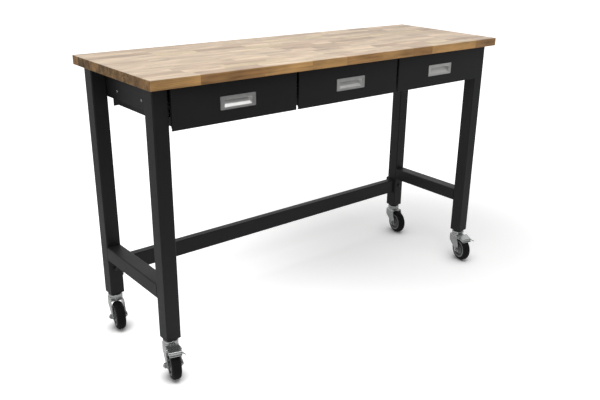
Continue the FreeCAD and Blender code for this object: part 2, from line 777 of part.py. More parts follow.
def pedal_block(inset, radius):
    half = pedal_half - inset
    outline = pedal_outline(inset)
    block = prism([(x, -half, z) for x, z in outline], (0, 2 * half, 0))
    top_front = Vector(outline[1][0], 0, outline[1][1])
    bend = min(edges_along(block, Vector(0, 1, 0)), key=lambda edge: (edge.CenterOfMass - top_front).Length)
    return block.makeFillet(radius, [bend])


def brake_pedal():
    outside = pedal_block(0, pedal_bend_radius)
    inside = pedal_block(pedal_sheet, pedal_bend_radius - pedal_sheet)
    low = pedal_pivot_z - pedal_flange_drop
    back = pedal_pivot_reach - pedal_back
    front = pedal_pivot_reach + pedal_front
    half_inside = pedal_half - pedal_sheet
    below = box(back + pedal_sheet, front - pedal_sheet, -half_inside, half_inside,
                low - overcut, pedal_pivot_z)
    behind = box(back - overcut, back + 2 * pedal_sheet, -half_inside, half_inside, low - overcut,
                 pedal_pivot_z + pedal_ear_radius)
    pan = outside.cut([inside, below, behind])
    lip = box(front - pedal_sheet, front + pedal_lip, -pedal_half, pedal_half, low, low + pedal_sheet)
    tip = front + horn_reach
    side = pedal_half + horn_side
    horn_low = pedal_line(pedal_front) - pedal_bend_radius
    horn_outline = [(front - horn_root, half_inside), (front - pedal_sheet, half_inside),
                    (front - pedal_sheet / 2, pedal_half - horn_tip_width),
                    (tip, side - horn_tip_width / 2), (tip - horn_tip_width / 2, side)]
    horn = prism([(x, y, horn_low) for x, y in horn_outline], (0, 0, pedal_sheet))
    pivot = cylinder(pedal_rivet_radius + running_clearance, (pedal_pivot_reach, -fork_half, pedal_pivot_z),
                     (pedal_pivot_reach, fork_half, pedal_pivot_z))
    return fuse([pan, lip, horn]).cut(pivot)


def brake_shoe():
    """Block fixed to the underside of the pedal's plate, chamfered to clear the bend at the front."""
    half = pedal_half - pedal_sheet - shoe_side_gap
    end_reach = pedal_front - pedal_sheet - shoe_front_gap
    chamfer_reach = end_reach - pedal_bend_radius
    low = pedal_pivot_z - shoe_drop
    outline = [(shoe_start, low), (end_reach, low), (end_reach, pedal_pivot_z),
               (chamfer_reach, pedal_line(chamfer_reach) - pedal_sheet),
               (shoe_start, pedal_line(shoe_start) - pedal_sheet)]
    return prism([(pedal_pivot_reach + reach, -half, z) for reach, z in outline], (0, 2 * half, 0))


def pedal_rivets():
    rivets = []
    for sign in (-1, 1):
        inner = (pedal_pivot_reach, sign * (pedal_half - pedal_sheet), pedal_pivot_z)
        outer = (pedal_pivot_reach, sign * fork_half, pedal_pivot_z)
        head_end = (pedal_pivot_reach, sign * (fork_half + pedal_rivet_head_height), pedal_pivot_z)
        rivets.append(fuse([cylinder(pedal_rivet_radius, inner, outer),
                            cylinder(pedal_rivet_head_radius, outer, head_end)]))
    return rivets


def place_under_leg(shape, place, heading=0.0):
    """Turns a piece to a heading and puts it under a leg."""
    x, y = leg_places[place]
    placed = shape.copy()
    placed.rotate(Vector(0, 0, 0), Vector(0, 0, 1), heading)
    placed.translate(Vector(x, y, 0))
    return placed


def place_caster(shape, place):
    return place_under_leg(shape, place, caster_headings[place])


def place_pedal(shape, place):
    """Presses a piece of the pedal down to its rest angle, then puts it under its leg."""
    pressed = shape.copy()
    pressed.rotate(Vector(pedal_pivot_reach, 0, pedal_pivot_z), Vector(0, 1, 0), pedal_rest_angles[place])
    return place_caster(pressed, place)


# Files, one for each piece or group of like fasteners
os.makedirs("parts", exist_ok=True)
export("worktop", [worktop])
export("worktop_screws", worktop_screws)
for place, leg in legs.items():
    export(place + "_leg", [leg])
for side in ("left", "right"):
    export(side + "_crossbar", [crossbars[side]])
    export(side + "_end_apron", [end_aprons[side]])
    export(side + "_divider", [dividers[side]])
export("stretcher", [stretcher])
export("stretcher_bolts", stretcher_bolts)
export("rear_apron", [rear_apron])
export("slide_screws", slide_screws)
export("divider_rivets", divider_rivets)
export("outer_slides", outer_slides)
for name, centre in zip(drawer_names, bay_centres):
    export(name + "_front", [drawer_front(centre)])
    export(name + "_box", [drawer_box(centre)])
    export(name + "_pull", [drawer_pull(centre)])
    export(name + "_fasteners", drawer_fasteners(centre))
    export(name + "_inner_slides", [slide.cut(slide_screw_holes(centre - bay_width, centre + bay_width))
                                    for slide in inner_slides[name]])
    export(name + "_middle_slides", middle_slides[name])
export("leg_plugs", [place_under_leg(leg_plug(), place) for place in leg_places])
export("caster_stems", [place_caster(caster_stem(), place) for place in leg_places])
for place in leg_places:
    braked = place.startswith("front")
    export(place + "_caster_fork", [place_caster(caster_fork(braked), place)])
    export(place + "_caster_axle", [place_caster(piece, place) for piece in caster_axle()])
    export(place + "_wheel_hub", [place_caster(wheel_hub(), place)])
    export(place + "_tyre", [place_caster(wheel_tyre(), place)])
    if braked:
        export(place + "_brake_pedal", [place_pedal(brake_pedal(), place)])
        export(place + "_brake_shoe", [place_pedal(brake_shoe(), place)])
        export(place + "_pedal_rivets", [place_caster(piece, place) for piece in pedal_rivets()])
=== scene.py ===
import json
import math

import bmesh
import bpy
from bpy.props import FloatProperty, FloatVectorProperty, IntProperty, PointerProperty
from bpy.types import Operator, Panel, PropertyGroup
from mathutils import Matrix, Vector

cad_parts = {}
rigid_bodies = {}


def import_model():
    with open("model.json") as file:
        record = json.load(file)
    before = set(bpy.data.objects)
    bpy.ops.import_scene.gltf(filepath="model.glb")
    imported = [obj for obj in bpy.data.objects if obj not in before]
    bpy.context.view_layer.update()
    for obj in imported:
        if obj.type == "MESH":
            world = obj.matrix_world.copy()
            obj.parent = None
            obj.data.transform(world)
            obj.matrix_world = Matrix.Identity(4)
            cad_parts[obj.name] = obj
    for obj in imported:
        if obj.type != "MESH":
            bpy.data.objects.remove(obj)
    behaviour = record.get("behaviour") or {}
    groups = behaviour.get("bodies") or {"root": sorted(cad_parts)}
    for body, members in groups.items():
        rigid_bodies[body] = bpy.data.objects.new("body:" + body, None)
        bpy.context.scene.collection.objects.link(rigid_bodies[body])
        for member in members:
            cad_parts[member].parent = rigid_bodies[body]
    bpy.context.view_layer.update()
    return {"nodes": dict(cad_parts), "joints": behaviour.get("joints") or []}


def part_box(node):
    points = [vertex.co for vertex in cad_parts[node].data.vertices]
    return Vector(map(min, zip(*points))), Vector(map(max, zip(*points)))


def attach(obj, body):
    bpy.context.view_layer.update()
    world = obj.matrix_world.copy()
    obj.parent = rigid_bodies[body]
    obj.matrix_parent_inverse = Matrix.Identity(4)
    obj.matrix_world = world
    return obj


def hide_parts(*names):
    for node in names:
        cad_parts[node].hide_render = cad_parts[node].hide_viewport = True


bl_info = {
    "name": "Mobile workbench",
    "version": (1, 0, 0),
    "blender": (4, 5, 0),
    "location": "3D View > Sidebar > Workbench",
    "description": "Finishes a mobile workbench: staved worktop, painted frame, plated casters, pale stage",
    "category": "Object",
}

for leftover in list(bpy.data.objects):
    bpy.data.objects.remove(leftover)

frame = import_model()
nodes = frame["nodes"]
top_low, top_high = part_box("worktop")

SIDES = ("left", "right")
DRAWERS = ("left_drawer", "middle_drawer", "right_drawer")
CASTERS = ("front_left", "front_right", "rear_left", "rear_right")
BRAKED = ("front_left", "front_right")
FULL_TURN = 2 * math.pi

# Points nearer than this are one point, and an edge is rounded in so many steps
SAME_POINT = 1e-6
EDGE_STEPS = 3

# How far the floor reaches on each side, and the picture and the sensor that the view is worked out for
FLOOR_REACH = 30.0
PICTURE_WIDTH, PICTURE_HEIGHT, SENSOR_WIDTH = 600.0, 400.0, 36.0

# Width and height of each lamp, its place, and the point that it faces
LAMPS = {
    "over_light": ((2.6, 1.8), (-0.55, -0.5, 2.9), (0.0, 0.1, 0.9)),
    "left_light": ((1.8, 1.6), (-3.2, -0.4, 1.15), (0.0, 0.1, 0.6)),
    "front_light": ((2.0, 1.5), (0.3, -1.4, 2.5), (0.0, -0.2, 0.8)),
}

# Top corner of each card at its dark end and at its lit end
CARDS = {
    "front_card": ((-0.9, -1.0, 1.25), (3.6, -1.0, 3.2)),
    "left_card": ((-1.6, -1.1, 1.0), (-1.6, 2.6, 1.0)),
}


# Node trees

def arithmetic(operation, swapped=False):
    """An operator that adds a Math node, with its own value first or, swapped, second."""
    def combine(value, other):
        pair = (other, value) if swapped else (value, other)
        return value.tree.value("ShaderNodeMath", {"operation": operation}, dict(enumerate(pair)))
    return combine


class Value:
    """A number from a node's output; arithmetic on it adds Math nodes to its tree."""

    def __init__(self, tree, socket):
        self.tree = tree
        self.socket = socket

    def math(self, operation, *numbers):
        return self.tree.value("ShaderNodeMath", {"operation": operation}, dict(enumerate((self,) + numbers)))

    __add__ = __radd__ = arithmetic("ADD")
    __mul__ = __rmul__ = arithmetic("MULTIPLY")
    __sub__, __rsub__ = arithmetic("SUBTRACT"), arithmetic("SUBTRACT", swapped=True)
    __truediv__, __rtruediv__ = arithmetic("DIVIDE"), arithmetic("DIVIDE", swapped=True)
    __pow__, __rpow__ = arithmetic("POWER"), arithmetic("POWER", swapped=True)


class Tree:
    """Adds nodes to one node tree."""

    def __init__(self, tree):
        self.tree = tree

    def add(self, kind, settings=None, inputs=None):
        """Adds a node of a type, with its settings, then its sockets' values or links."""
        node = self.tree.nodes.new(kind)
        for name, choice in (settings or {}).items():
            if name == "stops":
                fill_ramp(node.color_ramp, choice)
            else:
                setattr(node, name, choice)
        for key, given in (inputs or {}).items():
            for source in given if isinstance(given, list) else [given]:
                self.join(source, node.inputs[key])
        return node

    def join(self, source, socket):
        """Links an output to a socket, a node by its first one, or else sets the socket."""
        if isinstance(source, Value):
            source = source.socket
        elif isinstance(source, bpy.types.Node):
            source = source.outputs[0]
        if isinstance(source, bpy.types.NodeSocket):
            self.tree.links.new(source, socket)
        else:
            socket.default_value = source

    def value(self, kind, settings=None, inputs=None, output=0):
        """Adds a node and gives one of its outputs as a number."""
        return Value(self, self.add(kind, settings, inputs).outputs[output])


def fill_ramp(ramp, stops):
    while len(ramp.elements) < len(stops):
        ramp.elements.new(1.0)
    for element, (place, colour) in zip(ramp.elements, stops):
        element.position = place
        element.color = opaque(colour)


def opaque(colour):
    return (*colour, 1.0)


def grown(colour, factor):
    return tuple(min(part * factor, 1.0) for part in colour)


# Patterns that the finishes share

def parts(tree, vector):
    """The three parts of a vector, as numbers."""
    return [Value(tree, output) for output in tree.add("ShaderNodeSeparateXYZ", None, {0: vector}).outputs]


def joined(tree, x, y, z):
    """A vector from its three parts."""
    return tree.add("ShaderNodeCombineXYZ", None, {0: x, 1: y, 2: z})


def facing_parts(tree):
    """The three parts of the direction that the surface faces."""
    return parts(tree, tree.add("ShaderNodeNewGeometry").outputs["Normal"])


def vector_maths(tree, operation, *vectors):
    """The outputs of a node that works on whole vectors."""
    return tree.add("ShaderNodeVectorMath", {"operation": operation}, dict(enumerate(vectors))).outputs


def distance(tree, first, second):
    return Value(tree, vector_maths(tree, "DISTANCE", first, second)["Value"])


def stretched(tree, point, scales):
    return tree.add("ShaderNodeMapping", None, {"Vector": point, "Scale": scales})


def noise(tree, point, scale, detail=3.0, roughness=0.55):
    return tree.value("ShaderNodeTexNoise", None, {
        "Vector": point, "Scale": scale, "Detail": detail, "Roughness": roughness})


def stretched_noise(tree, point, scales, detail, roughness=0.55):
    """Noise with its own number of repeats in a metre along each axis."""
    return noise(tree, stretched(tree, point, scales), 1.0, detail, roughness)


def ease(tree, value, low, high, low_result=0.0, high_result=1.0):
    """A smooth step of a value from one level to another."""
    return tree.value("ShaderNodeMapRange", {"interpolation_type": "SMOOTHSTEP"}, {
        "Value": value, "From Min": low, "From Max": high, "To Min": low_result, "To Max": high_result})


def waves(reach, pitch):
    """A wave from 0 to 1 that repeats at a pitch."""
    return (reach * FULL_TURN / pitch).math("SINE") * 0.5 + 0.5


def blend(tree, factor, first, second, mode="MIX"):
    settings = {"data_type": "RGBA", "blend_type": mode}
    return tree.add("ShaderNodeMix", settings, {0: factor, 6: first, 7: second}).outputs[2]


def shaded(tree, colour, level):
    """A colour made lighter or darker by a varying level."""
    grey = tree.add("ShaderNodeCombineColor", None, {"Red": level, "Green": level, "Blue": level})
    return blend(tree, 1.0, colour, grey, "MULTIPLY")


def bump(tree, height, depth, strength):
    sockets = {"Strength": strength, "Distance": depth, "Height": height}
    return tree.add("ShaderNodeBump", None, sockets)


def new_finish(name):
    """A material without nodes yet; gives it, its tree and the point of the surface in the frame."""
    finish = bpy.data.materials.new(name)
    finish.use_nodes = True
    finish.node_tree.nodes.clear()
    tree = Tree(finish.node_tree)
    return finish, tree, tree.add("ShaderNodeTexCoord").outputs["Object"]


def close_finish(tree, sockets):
    shader = tree.add("ShaderNodeBsdfPrincipled", None, sockets)
    tree.add("ShaderNodeOutputMaterial", None, {"Surface": shader})


# Finishes

def wood_finish(settings):
    """Oiled staves: a tone for each stave, leaning growth rings, knots, fibres, pores and glue lines, with
    painted sheen on the top and painted shade on the edges.
    """
    finish, tree, point = new_finish("worktop_wood_finish")
    tone, shift, length = (tree.value("ShaderNodeAttribute", {"attribute_name": name}, None, "Fac")
                           for name in ("stave_tone", "stave_shift", "stave_length"))
    place = tree.add("ShaderNodeAttribute", {"attribute_name": "stave_place"}).outputs["Vector"]
    along, across = parts(tree, place)[:2]
    x, y, z = parts(tree, point)

    def draw(turns):
        """A number from 0 to 1 that each stave draws from its shift."""
        return (shift * turns).math("FRACT")

    # Each stave shows its own part of endless patterns, which repeat so often in a metre along each axis
    shift_x, shift_y, shift_z = 13.0, 3.7, 1.9
    waver_scales, knot_scales, cloud_scales = (3.0, 26.0, 26.0), (5.5, 16.0, 16.0), (9.0, 24.0, 24.0)
    streak_scales, fibre_scales, pore_scales = (5.0, 52.0, 52.0), (9.0, 620.0, 620.0), (130.0, 1900.0, 1900.0)
    pore_start, pore_full = 0.64, 0.74
    moved = joined(tree, x + shift * shift_x, y + shift * shift_y, z + shift * shift_z)
    waver = stretched_noise(tree, moved, waver_scales, 2.0)
    fibres = stretched_noise(tree, moved, fibre_scales, 3.0, 0.6)
    streaks = stretched_noise(tree, moved, streak_scales, 3.0, 0.62)
    pores = ease(tree, stretched_noise(tree, moved, pore_scales, 1.0), pore_start, pore_full)
    clouds = stretched_noise(tree, moved, cloud_scales, 2.0)

    # Knots, and the fibres that swirl round them
    knot_core, knot_edge, swirl_edge = 0.05, 0.13, 0.5
    knot_point = stretched(tree, moved, knot_scales)
    knot_field = tree.add("ShaderNodeTexVoronoi", None, {"Vector": knot_point, "Scale": 1.0})
    knot_near = Value(tree, knot_field.outputs["Distance"])
    knot_draw = tree.value("ShaderNodeSeparateColor", None, {0: knot_field.outputs["Color"]})
    knotty = knot_draw.math("GREATER_THAN", 1.0 - settings.knot_share)
    knot = ease(tree, knot_near, knot_core, knot_edge, 1.0, 0.0) * knotty
    swirl = ease(tree, knot_near, knot_core, swirl_edge, 1.0, 0.0) * knotty

    # Growth rings round each stave's pith, which lies under the top face and leans, steeply in a few staves
    strip = settings.depth / settings.strip_count
    pith_spread, pith_drop, pith_least_drop = 0.09, 0.07, 0.02
    lean_spread, straight_share, steep_lean = 0.12, 0.88, 0.5
    waver_reach, swirl_reach, ring_sharpness = 0.011, 0.012, 2.2
    narrow_ring, ring_spread = 0.7, 1.9
    lean_draw = draw(3.77)
    lean = (lean_draw - 0.5) * lean_spread + lean_draw.math("GREATER_THAN", straight_share) * steep_lean
    from_pith_y = across * strip - (draw(1.0) - 0.5) * pith_spread
    from_pith_z = z - settings.top_height + draw(7.31) * pith_drop + pith_least_drop + along * length * lean
    radius = (from_pith_y * from_pith_y + from_pith_z * from_pith_z).math("SQRT")
    radius = radius + waver * waver_reach + swirl * swirl_reach
    ring_width = settings.ring_spacing * (narrow_ring + draw(5.3) ** 2.0 * ring_spread)
    rings = waves(radius, ring_width) ** ring_sharpness

    # Colours of the top face and of the edges, which start just below it. They are lit and shaded copies of
    # one wood: the top's tones are painted paler as painted sheen, and the edges darker and more saturated as
    # painted shade
    edge_start, top_start, end_start, end_full = 0.0026, 0.0004, 0.6, 0.9
    top = tree.add("ShaderNodeValToRGB", {"stops": [
        (0.0, settings.brown_tone), (0.22, settings.tan_tone), (0.5, settings.pale_tone),
        (0.8, grown(settings.pale_tone, 1.07)), (1.0, settings.yellow_tone)]}, {0: tone})
    side = tree.add("ShaderNodeValToRGB", {"stops": [
        (0.0, settings.shaded_edge_dark_tone), (0.45, settings.shaded_edge_tone),
        (1.0, grown(settings.shaded_edge_tone, 1.25))]}, {0: tone})
    on_top = ease(tree, z, settings.top_height - edge_start, settings.top_height - top_start)
    wood = blend(tree, on_top, side, top)
    end_grain = ease(tree, facing_parts(tree)[0].math("ABSOLUTE"), end_start, end_full)

    # Light and dark of the patterns, a little softer on the top face, and of the glue lines
    streak_depth, fibre_depth, cloud_depth = 1.05, 0.2, 0.85
    ring_depth, pore_depth, seam_depth = 0.16, 0.14, 0.16
    knot_depth, swirl_depth, top_softness = 0.55, 0.12, 0.1
    seam_core, end_seam_edge, side_seam_edge = 0.0001, 0.0007, 0.0006
    pattern_depth = 1.0 - on_top * top_softness
    level = (streaks - 0.5) * streak_depth + (fibres - 0.5) * fibre_depth + (clouds - 0.5) * cloud_depth
    level = 1.04 + (level - rings * ring_depth) * pattern_depth - pores * pore_depth
    level = level - end_grain * settings.end_darkening * (0.7 + draw(11.7) * 0.7)
    level = level * (1.0 - knot * knot_depth - swirl * swirl_depth)
    end_seam = ease(tree, (0.5 - along.math("ABSOLUTE")) * length, seam_core, end_seam_edge, 1.0, 0.0)
    side_seam = ease(tree, (0.5 - across.math("ABSOLUTE")) * strip, seam_core, side_seam_edge, 1.0, 0.0)
    level = level - end_seam.math("MAXIMUM", side_seam) * seam_depth
    close_finish(tree, {
        "Base Color": shaded(tree, wood, level),
        "Roughness": 0.42 + (fibres - 0.5) * 0.16 + pores * 0.2 + rings * 0.05 + end_grain * 0.2,
        "Normal": bump(tree, fibres * 0.5 - pores * 0.8 - rings * 0.25, depth=0.00022, strength=0.5),
        "Specular IOR Level": 0.34,
    })
    return finish


def paint_finish(settings):
    """Satin black powder coat: fine orange peel, cloudy sheen, a little settled dust and upward faces lighter
    all over.
    """
    peel_scale, grain_scale, cloud_scale, dust_scale = 620.0, 2400.0, 7.0, 900.0
    rub_scales = (14.0, 14.0, 90.0)
    dust_start, dust_full, upward_start, upward_full = 0.73, 0.8, 0.5, 0.95
    finish, tree, point = new_finish("black_paint_finish")
    peel = noise(tree, point, peel_scale, 2.0, 0.5)
    grain = noise(tree, point, grain_scale, 2.0, 0.6)
    clouds = noise(tree, point, cloud_scale)
    rubs = stretched_noise(tree, point, rub_scales, 4.0, 0.62)
    dust = ease(tree, noise(tree, point, dust_scale, 1.0), dust_start, dust_full)
    upward = ease(tree, facing_parts(tree)[2], upward_start, upward_full)
    # Upward faces come out lighter all over, and the dust specks are stronger on them
    level = 0.86 + clouds * 0.28 + (grain - 0.5) * 0.3 + dust * (0.5 + upward * 1.5) + upward * 0.35
    close_finish(tree, {
        "Base Color": shaded(tree, opaque(settings.colour), level),
        "Roughness": settings.roughness + (clouds - 0.5) * 0.14 + (rubs - 0.5) * 0.12 + dust * 0.2,
        "Normal": bump(tree, peel + grain * 0.3, depth=0.00006, strength=settings.peel),
        "Specular IOR Level": settings.specular,
    })
    return finish


def plate_finish(name, colour, tint, roughness, line_scales):
    """Plated steel: cloudy passivation, small stains and fine lines that run as it was drawn or brushed."""
    cloud_scale, blotch_scale, stain_scale, pit_scale = 38.0, 130.0, 420.0, 1500.0
    bloom_start, bloom_full = 0.38, 0.66
    stain_start, stain_full, pit_start, pit_full = 0.66, 0.78, 0.68, 0.78
    finish, tree, point = new_finish(name)
    clouds = noise(tree, point, cloud_scale, 4.0, 0.6)
    blotches = noise(tree, point, blotch_scale, 3.0, 0.6)
    stains = ease(tree, noise(tree, point, stain_scale, 2.0), stain_start, stain_full)
    lines = stretched_noise(tree, point, line_scales, 3.0, 0.7)
    pits = ease(tree, noise(tree, point, pit_scale, 1.0), pit_start, pit_full)
    hue = blend(tree, ease(tree, clouds, bloom_start, bloom_full), opaque(colour), opaque(tint))
    level = 1.0 + (blotches - 0.5) * 0.14 + (lines - 0.5) * 0.2 - stains * 0.1 - pits * 0.1
    close_finish(tree, {
        "Base Color": shaded(tree, hue, level),
        "Metallic": 0.87 - stains * 0.2,
        "Roughness": roughness + (blotches - 0.5) * 0.12 + (lines - 0.5) * 0.16 + stains * 0.1,
        "Normal": bump(tree, lines * 0.6 - pits * 0.5 + blotches * 0.3, depth=0.00005, strength=0.4),
    })
    return finish


def oxide_finish(settings):
    """Oiled black oxide: a faint brown bloom over dark steel."""
    bloom_scale, grain_scale, bloom_start, bloom_full = 160.0, 1300.0, 0.45, 0.75
    finish, tree, point = new_finish("black_oxide_finish")
    bloom = noise(tree, point, bloom_scale, 4.0, 0.65)
    grain = noise(tree, point, grain_scale, 2.0)
    bloomed = ease(tree, bloom, bloom_start, bloom_full)
    hue = blend(tree, bloomed, opaque(settings.oxide_colour), opaque(settings.bloom_colour))
    close_finish(tree, {
        "Base Color": shaded(tree, hue, 0.8 + grain * 0.4),
        "Metallic": 0.75 - bloom * 0.3,
        "Roughness": 0.34 + bloom * 0.22,
        "Normal": bump(tree, grain, depth=0.00005, strength=0.4),
    })
    return finish


def plastic_finish(settings):
    """Moulded plastic: a fine spark-eroded grain and a faint cloudiness."""
    grain_scale, cloud_scale, scuff_scales = 1800.0, 45.0, (160.0, 160.0, 700.0)
    scuff_start, scuff_full = 0.66, 0.8
    finish, tree, point = new_finish("black_plastic_finish")
    grain = noise(tree, point, grain_scale, 2.0, 0.6)
    clouds = noise(tree, point, cloud_scale)
    scuffs = ease(tree, stretched_noise(tree, point, scuff_scales, 3.0, 0.7), scuff_start, scuff_full)
    level = 0.8 + clouds * 0.3 + (grain - 0.5) * 0.4 + scuffs * 0.8
    close_finish(tree, {
        "Base Color": shaded(tree, opaque(settings.plastic_colour), level),
        "Roughness": 0.5 + (clouds - 0.5) * 0.15 + scuffs * 0.15,
        "Normal": bump(tree, grain, depth=0.00008, strength=0.5),
        "Specular IOR Level": 0.35,
    })
    return finish


def axle_frame(tree, point, centre, axle):
    """Distance along the axle from the wheel's middle and distance out from the axle, at each point."""
    offset = vector_maths(tree, "SUBTRACT", point, centre)["Vector"]
    along = Value(tree, vector_maths(tree, "DOT_PRODUCT", offset, axle)["Value"])
    length = distance(tree, point, centre)
    out = (length * length - along * along).math("MAXIMUM", 0.0).math("SQRT")
    return along.math("ABSOLUTE"), out


def hub_finish(place, centre, axle, settings):
    """Moulded hub: turned tool marks round the axle, a painted highlight on the rim, painted shade in the
    groove and a dull bloom on the faces.
    """
    mark_pitch, grain_scale, cloud_scale = 0.0016, 1500.0, 60.0
    rim_start, rim_end, face_start, face_end = 0.031, 0.0355, 0.012, 0.0152
    groove_start, groove_in, groove_out, groove_end = 0.0205, 0.0215, 0.0285, 0.0295
    finish, tree, point = new_finish(place + "_hub_finish")
    along, out = axle_frame(tree, point, centre, axle)
    marks = waves(out, mark_pitch)
    grain = noise(tree, point, grain_scale, 2.0, 0.6)
    clouds = noise(tree, point, cloud_scale)
    # A painted highlight on the rim and painted shade in the groove
    painted_rim_highlight = ease(tree, out, rim_start, rim_end) * ease(tree, along, face_start, face_end)
    painted_groove_shade = ease(tree, out, groove_start, groove_in) * ease(tree, out, groove_out, groove_end, 1.0, 0.0)
    level = 0.8 + clouds * 0.34 + (grain - 0.5) * 0.3 + marks * 0.08 + painted_rim_highlight * 1.1 - painted_groove_shade * 0.55
    close_finish(tree, {
        "Base Color": shaded(tree, opaque(settings.hub_colour), level),
        "Roughness": 0.46 + (clouds - 0.5) * 0.16 - painted_rim_highlight * 0.08,
        "Normal": bump(tree, marks * 0.6 + grain * 0.4, depth=0.00009, strength=0.6),
        "Specular IOR Level": 0.45,
    })
    return finish


def rubber_finish(place, centre, axle, settings):
    """Solid rubber: floor dust on the tread, moulding rings on the side walls and a parting line."""
    grain_scale, scuff_scale, cloud_scale = 1100.0, 240.0, 34.0
    tread_start, tread_end, ring_pitch = 0.0462, 0.0496, 0.0030
    parting_core, parting_edge = 0.0002, 0.0009
    dust_start, dust_full, dust_share = 0.42, 0.68, 0.55
    finish, tree, point = new_finish(place + "_tyre_finish")
    along, out = axle_frame(tree, point, centre, axle)
    grain = noise(tree, point, grain_scale, 3.0, 0.65)
    scuffs = noise(tree, point, scuff_scale, 4.0, 0.7)
    clouds = noise(tree, point, cloud_scale)
    tread = ease(tree, out, tread_start, tread_end)
    rings = waves(out, ring_pitch) * (1.0 - tread)
    parting = ease(tree, along, parting_core, parting_edge, 1.0, 0.0)
    dust = tread * ease(tree, scuffs, dust_start, dust_full)
    hue = blend(tree, dust * dust_share, opaque(settings.rubber_colour), opaque(settings.dust_colour))
    close_finish(tree, {
        "Base Color": shaded(tree, hue, 0.75 + clouds * 0.35 + (grain - 0.5) * 0.5),
        "Roughness": 0.62 + (scuffs - 0.5) * 0.2 + tread * 0.14,
        "Normal": bump(tree, grain * 0.5 + rings * 0.5 + parting * 0.6 - dust * 0.2,
                       depth=0.00018, strength=0.7),
        "Specular IOR Level": 0.16,
    })
    return finish


# Finishes that several operators share, made the first time one asks

def black_paint(context):
    return bpy.data.materials.get("black_paint_finish") or paint_finish(context.scene.workbench_paint)


def black_plastic(context):
    return bpy.data.materials.get("black_plastic_finish") or plastic_finish(context.scene.workbench_paint)


def zinc_plate(context):
    name, settings, drawn_scales = "zinc_plate_finish", context.scene.workbench_metal, (700.0, 700.0, 160.0)
    return bpy.data.materials.get(name) or plate_finish(
        name, settings.zinc_colour, settings.zinc_tint, settings.zinc_roughness, drawn_scales)


# Shapes

def dress(names, finish):
    for name in names:
        nodes[name].data.materials[0] = finish


def new_piece(name, content):
    piece = bpy.data.objects.new(name, content)
    bpy.context.scene.collection.objects.link(piece)
    return piece


def new_shape_tree(name, inputs):
    """A Geometry Nodes tree; gives the tree, its inputs' identifiers, the start geometry and the inputs."""
    group = bpy.data.node_groups.new(name, "GeometryNodeTree")
    identifiers = {}
    for label, kind in {"Geometry": "Geometry", **inputs}.items():
        socket = group.interface.new_socket(label, in_out="INPUT", socket_type="NodeSocket" + kind)
        identifiers[label] = socket.identifier
    group.interface.new_socket("Geometry", in_out="OUTPUT", socket_type="NodeSocketGeometry")
    tree = Tree(group)
    given = tree.add("NodeGroupInput").outputs
    return tree, identifiers, given["Geometry"], [Value(tree, given[label]) for label in inputs]


def close_shape_tree(tree, geometry):
    whole = tree.add("GeometryNodeRealizeInstances", None, {0: geometry})
    tree.add("NodeGroupOutput", None, {0: whole})


def grow_piece(name, start, finish, tree, identifiers, values):
    """Runs a tree on a start mesh and keeps the result as a plain mesh with one finish."""
    seed_piece = new_piece(name + "_start", start)
    modifier = seed_piece.modifiers.new("shape", "NODES")
    modifier.node_group = tree.tree
    for label, value in values.items():
        modifier[identifiers[label]] = value
    depsgraph = bpy.context.evaluated_depsgraph_get()
    mesh = bpy.data.meshes.new_from_object(seed_piece.evaluated_get(depsgraph), depsgraph=depsgraph)
    mesh.name = name
    mesh.materials.clear()
    mesh.materials.append(finish)
    bpy.data.objects.remove(seed_piece)
    return new_piece(name, mesh)


def random_number(tree, identity, seed):
    return tree.value("FunctionNodeRandomValue", {"data_type": "FLOAT"}, {7: identity, 8: seed}, 1)


def keep_attribute(tree, geometry, name, kind, domain, value):
    return tree.add("GeometryNodeStoreNamedAttribute", {"data_type": kind, "domain": domain}, {
        "Geometry": geometry, "Name": name, "Value": value})


def stave_tree():
    """Staves laid end to end in strips, each strip's joints at random places between its fixed ends."""
    tree, identifiers, _, given = new_shape_tree("worktop_staves", {
        "Length": "Float", "Depth": "Float", "Thickness": "Float", "Middle": "Vector",
        "Strips": "Int", "Staves": "Int", "Spread": "Float", "Seed": "Int"})
    length, depth, thickness, middle, strips, staves, spread, seed = given
    strip_draws, shift_range = 5000.0, 10.0
    index = tree.value("GeometryNodeInputIndex")
    strip = ((index + 0.5) / staves).math("FLOOR")
    stave = index - strip * staves
    strip_depth = depth / strips
    phase = random_number(tree, strip + strip_draws, seed)

    def joint(number):
        """Where a joint lies along its strip, from 0 to 1."""
        jitter = (random_number(tree, strip * (staves + 1.0) + number, seed) - 0.5) * spread
        inner = (number - 0.5 + phase + jitter) / staves
        after_start = number.math("GREATER_THAN", 0.5)
        before_end = number.math("LESS_THAN", staves - 0.5)
        return inner * after_start * before_end + (1.0 - before_end)

    start = joint(stave)
    end = joint(stave + 1.0)
    stave_length = (end - start) * length
    place = joined(tree, ((start + end) * 0.5 - 0.5) * length, (strip + 0.5) * strip_depth - depth * 0.5, 0.0)
    place = vector_maths(tree, "ADD", place, middle)["Vector"]
    points = tree.add("GeometryNodePoints", None, {"Count": strips * staves, "Position": place})
    cube = tree.add("GeometryNodeMeshCube", None, {"Size": (1.0, 1.0, 1.0)})
    local = tree.add("GeometryNodeInputPosition")
    cube = keep_attribute(tree, cube, "stave_place", "FLOAT_VECTOR", "POINT", local)
    size = joined(tree, stave_length, strip_depth, thickness)
    laid = tree.add("GeometryNodeInstanceOnPoints", None, {
        "Points": points, "Instance": cube, "Scale": size})
    scale = parts(tree, tree.add("GeometryNodeInputInstanceScale"))
    kept = {"stave_length": scale[0], "stave_tone": random_number(tree, index, seed + 1.0),
            "stave_shift": random_number(tree, index, seed + 2.0) * shift_range}
    for name, value in kept.items():
        laid = keep_attribute(tree, laid, name, "FLOAT", "INSTANCE", value)
    close_shape_tree(tree, laid)
    return tree, identifiers


